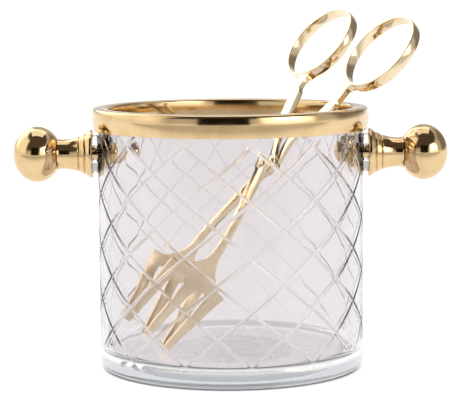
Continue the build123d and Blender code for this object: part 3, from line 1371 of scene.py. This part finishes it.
    def stations(self) -> list[float]:
        """The places along a lever where its sections are set, from the ring end to the tips.

        Returns:
            Distances from the rivet along X, in millimetres.
        """
        past_ring = [self.ring_end + step for step in (0.9, -0.4, -1.6, -3.0, -5.5, -9.0)]
        past_bar = [self.bar_end + step for step in (3.1, 2.6, 1.8, 0.9, 0)]
        bar = [self.bar_end * share for share in (0.75, 0.5, 0.25)]
        places = [spot * math.cos(self.arm_angle) for spot in (*past_ring, *past_bar, *bar)]
        half_boss = [self.boss_radius * share for share in (0.95, 0.77, 0.64, 0.45, 0.22)]
        places += [*half_boss, 0, *(-spot for spot in half_boss[::-1])]
        palm_reach, slots = self.palm[0], self.slot_root + self.slot_root_depth
        fifths = (0.2, 0.4, 0.6, 0.8, 1.0)
        flare = (0.2, 0.38, 0.54, 0.68, 0.8, 0.89, 0.95, 0.985, 1.0)
        for start, end, shares in (
            (0, self.elbow[0], (0.45, 0.7, 1.0)),
            (self.elbow[0], self.wrist[0], fifths),
            (palm_reach - self.flare_run, palm_reach, flare),
            (0, self.slot_root, (1.0,)),
            (slots, self.jaw_length, (0, *fifths)),
        ):
            places += [-(start + (end - start) * share) for share in shares]
        return places

    def blank(self, name: str) -> Piece:
        """Cut the flat blank of a lever: its outline seen square to the fork.

        Args:
            name: The lever's name.

        Returns:
            The blank, a flat sheet with X along the lever and Z across the fork.
        """
        places = self.stations()
        spots = [self.columns(along) for along in places]
        rows, across = len(places), len(spots[0])
        deselect_everything()
        bpy.ops.mesh.primitive_grid_add(x_subdivisions=rows - 1, y_subdivisions=across - 1, size=1)
        blank = bpy.context.object
        blank.name = name
        root_row = places.index(-self.slot_root)
        for vertex in blank.data.vertices:
            row = rows - 1 - round((vertex.co.x + 0.5) * (rows - 1))
            column = round((vertex.co.y + 0.5) * (across - 1))
            along, offset = places[row], spots[row][column]
            if row == root_row and column in (1, 5, 6, 10):
                along -= self.slot_root_depth * self.slot_shoulder
            if row == root_row and column in (2, 4, 7, 9):
                along -= self.slot_root_depth * self.slot_bend
            vertex.co = (along * MM, 0, offset * MM)
        slots = (self.slot_root + self.slot_margin) * MM
        with Editing(blank) as edit:
            edit.select(Element.FACES, lambda face: self.in_slot(face, slots))
            bpy.ops.mesh.delete(type="FACE")
            arm_end = -(self.wrist[0] + self.arm_margin) * MM
            edit.select(
                Element.EDGES,
                lambda edge: not edge.is_boundary
                and min(vertex.co.x for vertex in edge.verts) > arm_end
                and abs(edge.verts[0].co.x - edge.verts[1].co.x) > 0.01 * MM,
            )
            bpy.ops.mesh.dissolve_edges(use_verts=True)
            tips = -(self.jaw_length - 0.1) * MM
            edit.select(
                Element.VERTICES,
                lambda vertex: vertex.co.x < tips and len(vertex.link_edges) == 2,
            )
            bpy.ops.mesh.bevel(
                offset=self.tine_tip * self.tip_round_share * MM, segments=5, affect="VERTICES"
            )
        return blank

    def in_slot(self, face: bmesh.types.BMFace, slots: float) -> bool:
        """Whether a face of the blank lies in one of the two slots between the tines.

        Args:
            face: The face.
            slots: Where the slots begin, in metres from the rivet.

        Returns:
            True if it does.
        """
        middle = face.calc_center_median()
        if -middle.x < slots:
            return False
        places = self.columns(middle.x / MM)
        return places[6] < abs(middle.z / MM) < places[10]

    def press(self, blank: Piece) -> None:
        """Give the blank its thickness and its bow.

        Args:
            blank: The flat blank.
        """
        with Editing(blank):
            bpy.ops.mesh.select_all(action="SELECT")
            bpy.ops.mesh.extrude_region_move(TRANSFORM_OT_translate={"value": (0, MM, 0)})
        satin = blank.data.attributes.new("satin", "FLOAT", "POINT")
        for vertex in blank.data.vertices:
            along = vertex.co.x / MM
            side = 1.0 if vertex.co.y > MM / 2 else -1.0
            step = self.slope_reach
            slope = (self.bow(along + step) - self.bow(along - step)) / (2 * step)
            if abs(along) < self.boss_radius:
                slope = math.tan(self.arm_angle)
            across = Vector((-slope, 1.0)).normalized() * side * self.thickness_half(along)
            past_wrist = (-along - self.wrist[0]) / self.satin_fade
            satin.data[vertex.index].value = clamped(past_wrist)
            vertex.co = (
                (along + across.x) * MM,
                (self.bow(along) + across.y) * MM,
                vertex.co.z + self.width_middle(along) * MM,
            )
        face_outwards(blank)

    def lever(self, name: str) -> Piece:
        """Make one lever at the origin, in the tongs' own frame.

        Args:
            name: The lever's name.

        Returns:
            The lever.
        """
        lever = self.blank(name)
        self.press(lever)
        radius = (self.rivet_radius + self.rivet_clearance) * MM
        depth = 4 * self.bar_thickness * MM
        cut_hole(lever, self.rivet_hole_sides, radius=radius, depth=depth)
        ease_edges(lever, self.edge_round, segments=3, angle=self.edge_angle)
        return lever

    def finger_ring(self, name: str) -> Piece:
        """Make one finger ring, a band with a slightly crowned outside, in the tongs' own frame.

        Args:
            name: The ring's name.

        Returns:
            The ring.
        """
        half = self.ring_width / 2
        inner = self.ring_outer - self.ring_thickness
        edge = self.ring_outer - self.ring_crown
        corners = [
            (inner, -half, self.ring_inner_round),
            (edge, -half, self.ring_edge_round),
            (self.ring_outer, 0, self.ring_crown_round),
            (edge, half, self.ring_edge_round),
            (inner, half, self.ring_inner_round),
        ]
        ring = turned(name, round_corners(corners, True, steps=4), self.ring_segments, True)
        place(ring, Matrix.Translation((self.ring_reach * MM, self.ring_offset * MM, 0)))
        return ring

    def build(self, brass: Material) -> None:
        """Make the tongs' pieces.

        Args:
            brass: Their finish.
        """
        for letter, placement, body in (
            ("a", self.turned_over, SWINGING_LEVER),
            ("b", self.placement, FIXED_LEVER),
        ):
            lever = self.lever(f"tong_lever_{letter}_forged")
            ring = self.finger_ring(f"finger_ring_{letter}_band")
            for piece, node in ((lever, f"tong_lever_{letter}"), (ring, f"finger_ring_{letter}")):
                place(piece, placement)
                if letter == "a":
                    face_outwards(piece)
                smooth(piece)
                finish(piece, brass, Slot.TONGS, body, node)
        for node in ("pivot_washer", "pivot_burr", "pivot_rivet"):
            piece = copy_of_node(node, f"{node}_eased", 0.12)
            finish(piece, brass, Slot.TONGS, FIXED_LEVER, node)


# ---- The studio ----


DARK_CEILING: Colour = (0.085, 0.072, 0.058)


@dataclass(frozen=True)
class Panel:
    """A soft-edged box of directions in the surroundings, in degrees.

    Azimuth 0 looks along -Y, and east is towards +X.
    """

    west: float
    east: float
    low: float
    high: float
    soft: float
    colour: Colour


PANELS = (
    Panel(west=-60, east=24, low=18, high=80, soft=5.0, colour=DARK_CEILING),
    Panel(west=-27, east=16, low=1, high=32, soft=1.5, colour=(0.012, 0.009, 0.006)),
    Panel(west=26, east=72, low=4, high=30, soft=5.0, colour=(2.4, 2.35, 2.2)),
    Panel(west=-140, east=-58, low=3, high=55, soft=7.0, colour=(1.25, 1.2, 1.1)),
    Panel(west=-165, east=-118, low=12, high=50, soft=6.0, colour=(2.3, 2.25, 2.1)),
    Panel(west=98, east=150, low=1, high=40, soft=6.0, colour=(0.24, 0.22, 0.20)),
)


@dataclass
class Studio:
    """A pale floor, soft light and the camera. Lengths are in metres."""

    camera_place: tuple[float, float, float] = (0.0, -0.92194, 0.19065)
    pitch: float = -6.593
    yaw: float = 0.198
    roll: float = -0.420
    lens: float = 146.27
    floor_size: float = 60.0
    floor_grey: float = 0.26
    # the floor's glow, dimmer towards the front than at the back
    floor_fade: tuple[float, float] = (-0.55, -0.10)
    front_glow: Colour = (0.44, 0.43, 0.42)
    back_glow: Colour = (0.95, 0.95, 0.95)
    # painted contact shadow on the floor's glow: how dark it is, the ring it fills, and its front half
    contact_shade: float = 0.95
    contact_shadow_inner: tuple[float, float] = (0.050, 0.062)
    contact_shadow_outer: tuple[float, float] = (0.068, 0.064)
    contact_shadow_front: tuple[float, float] = (0.01, -0.03)
    horizon: Colour = (1.02, 1.02, 1.02)
    walls: Colour = (0.58, 0.57, 0.56)
    horizon_rise: tuple[float, float] = (0.6, 6)
    ceiling_way: Colour = (0.0, -0.309, 0.951)
    ceiling_edge: tuple[float, float] = (0.62, 0.72)
    aim: tuple[float, float, float] = (0.0, 0.0, 0.07)

    @staticmethod
    def hang(name: str, data: bpy.types.ID) -> Piece:
        """Put a camera or a light into the scene."""
        thing = bpy.data.objects.new(name, data)
        bpy.context.scene.collection.objects.link(thing)
        return thing

    def camera(self) -> None:
        """Set up the camera."""
        data = bpy.data.cameras.new("camera")
        data.lens = self.lens
        data.sensor_width = 36.0
        data.clip_end = 100.0
        camera = self.hang("camera", data)
        pitch, yaw, roll = (math.radians(angle) for angle in (self.pitch, self.yaw, self.roll))
        camera.matrix_world = (
            Matrix.Translation(self.camera_place)
            @ Matrix.Rotation(yaw, 4, "Z")
            @ Matrix.Rotation(math.pi / 2 + pitch, 4, "X")
            @ Matrix.Rotation(roll, 4, "Z")
        )
        bpy.context.scene.camera = camera

    def floor(self) -> None:
        """Lay the pale floor. It glows, dimmer towards the front, and a painted contact shadow darkens
        its glow in a ring round the base's edge, on the front half.
        """
        deselect_everything()
        bpy.ops.mesh.primitive_plane_add(size=self.floor_size)
        floor = bpy.context.object
        floor.name = "studio_floor"
        material, nodes, shader = new_material("studio_floor")
        place_of = nodes.object_place()
        y = nodes.add("ShaderNodeSeparateXYZ", {"Vector": place_of}).outputs["Y"]
        reach = nodes.add("ShaderNodeVectorMath", {0: place_of}, operation="LENGTH").outputs["Value"]
        glow = nodes.mix(nodes.ramp(y, *self.floor_fade), self.front_glow, self.back_glow)
        # painted contact shadow: the glow is darkened in a ring round the base's edge, on the front
        # half
        painted_contact_shadow = nodes.product(
            nodes.ramp(reach, *self.contact_shadow_inner),
            nodes.ramp(reach, *self.contact_shadow_outer),
            nodes.ramp(y, *self.contact_shadow_front),
            self.contact_shade,
        )
        for label, value in (
            ("Base Color", (*[self.floor_grey] * 3, 1)),
            ("Roughness", 0.9),
            ("Specular IOR Level", 0.1),
            ("Emission Strength", 1.0),
            ("Emission Color", nodes.mix(painted_contact_shadow, glow, (0.0, 0.0, 0.0))),
        ):
            nodes.feed(shader.inputs[label], value)
        floor.data.materials.append(material)

    def world(self) -> None:
        """Surround the object with a bright room that has a few darker panels in it."""
        world = bpy.data.worlds.new("studio")
        bpy.context.scene.world = world
        world.use_nodes = True
        nodes = Nodes(world.node_tree)
        way = nodes.add("ShaderNodeTexCoord").outputs["Generated"]
        x, y, z = nodes.add("ShaderNodeSeparateXYZ", {"Vector": way}).outputs
        elevation = nodes.math("DEGREES", nodes.math("ARCSINE", z))
        azimuth = nodes.math("DEGREES", nodes.math("ARCTAN2", x, nodes.product(y, -1.0)))
        colour = nodes.mix(nodes.ramp(elevation, *self.horizon_rise), self.horizon, self.walls)
        _, back, up = self.ceiling_way
        over = nodes.math("ADD", nodes.product(y, back), nodes.product(z, up))
        colour = nodes.mix(nodes.ramp(over, *self.ceiling_edge), colour, DARK_CEILING)
        for panel in PANELS:
            soft = panel.soft
            inside = nodes.product(
                nodes.ramp(azimuth, panel.west - soft, panel.west + soft),
                nodes.ramp(azimuth, panel.east + soft, panel.east - soft),
                nodes.ramp(elevation, panel.low - soft, panel.low + soft),
                nodes.ramp(elevation, panel.high + soft, panel.high - soft),
            )
            colour = nodes.mix(inside, colour, panel.colour)
        background = world.node_tree.nodes["Background"]
        nodes.feed(background.inputs["Color"], colour)
        nodes.feed(background.inputs["Strength"], 1.0)

    def lights(self) -> None:
        """Hang the soft boxes."""
        for name, where, size, power in (
            ("overhead", (0.0, 0.5, 1.5), 1.2, 5.0),
            ("key", (1.1, -1.0, 0.7), 0.6, 2.5),
        ):
            data = bpy.data.lights.new(name, "AREA")
            data.shape = "SQUARE"
            data.size = size
            data.energy = power
            light = self.hang(name, data)
            light.location = where
            towards = Vector(self.aim) - Vector(where)
            light.rotation_euler = towards.to_track_quat("-Z", "Y").to_euler()

    def build(self) -> None:
        """Set up the studio."""
        self.camera()
        self.floor()
        self.world()
        self.lights()
        bpy.context.scene.view_settings.view_transform = "Standard"


def main() -> None:
    """Build every sub-assembly in order and set up the studio."""
    logging.basicConfig(level=logging.INFO, format="%(name)s %(message)s")
    Studio().build()
    brass, handle_brass, tongs_brass = POLISHED.make(), POLISHED_HANDLE.make(), TONGS_BRASS.make()
    glass, clear = CUT_GLASS.make(), CLEAR_PLASTIC.make()
    vessel, collar, tongs = CutGlassVessel(), RimCollar(), ScissorTongs()
    handles = [BallHandle(side) for side in Side]
    vessel.build(glass)
    collar.build(brass, clear)
    for handle in handles:
        handle.build(handle_brass, clear, brass)
    tongs.build(tongs_brass)
    for part in (vessel, collar, *handles, tongs):
        log.info("%s", part)


if __name__ == "__main__":
    main()
